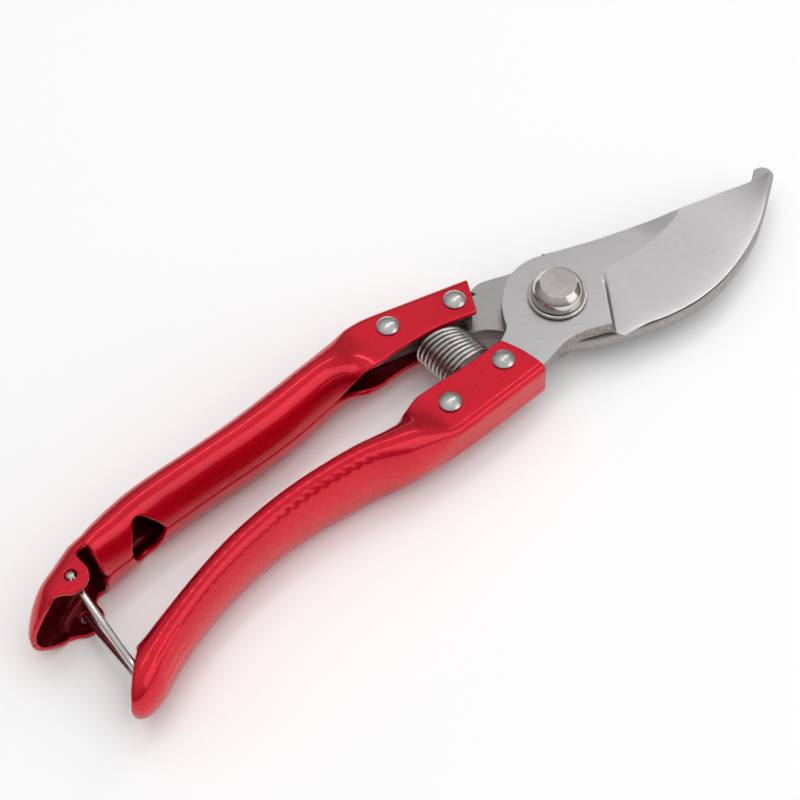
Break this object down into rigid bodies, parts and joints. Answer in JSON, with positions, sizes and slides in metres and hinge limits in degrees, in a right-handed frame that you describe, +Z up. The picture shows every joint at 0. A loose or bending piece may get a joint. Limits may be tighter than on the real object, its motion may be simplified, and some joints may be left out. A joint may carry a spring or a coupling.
{
  "type": "pruning shears",
  "caption": "Bypass pruning shears with red pressed-steel handles, a coil return spring, a domed pivot and a wire lock at the handle ends.",
  "frame": {"origin": "under the middle of the object's box, on the surface that it lies on", "axes": "+X from the handle ends to the blade tip, +Y towards the handle that carries the counter blade, +Z up along the pivot"},
  "size_m": [0.2046, 0.0497, 0.0206],
  "materials": {
    "red_enamel": "gloss",
    "blade_steel": "satin, ground",
    "dark_steel": "dull, dark",
    "nickel_plate": "polished",
    "rivet_steel": "satin",
    "spring_steel": "satin",
    "wire_steel": "bright"
  },
  "bodies": {
    "hook_side": {"upper_handle": "red_enamel", "counter_blade": "blade_steel", "upper_spacer_plate": "dark_steel", "pivot_bolt": "nickel_plate", "pivot_washer": "nickel_plate", "back_washer": "nickel_plate", "pivot_nut": "nickel_plate", "upper_front_rivet": "rivet_steel", "upper_rear_rivet": "rivet_steel", "return_spring": "spring_steel"},
    "blade_side": {"cutting_blade": "blade_steel", "lower_handle": "red_enamel", "lower_spacer_plate": "dark_steel", "lower_front_rivet": "rivet_steel", "lower_rear_rivet": "rivet_steel"},
    "lock_wire": {"lock_wire": "wire_steel"}
  },
  "joints": [
    {"name": "blade_pivot", "type": "hinge", "parent": "hook_side", "child": "blade_side", "pos_m": [0.03687, -0.00266, 0.0103], "axis": [0, 0, 1], "range_deg": [0, 34], "deforming": ["return_spring"]},
    {"name": "lock_wire_swing", "type": "hinge", "parent": "hook_side", "child": "lock_wire", "pos_m": [-0.08843, 0.01404, 0.0103], "axis": [0, 0, 1], "range_deg": [-50, 0]}
  ]
}
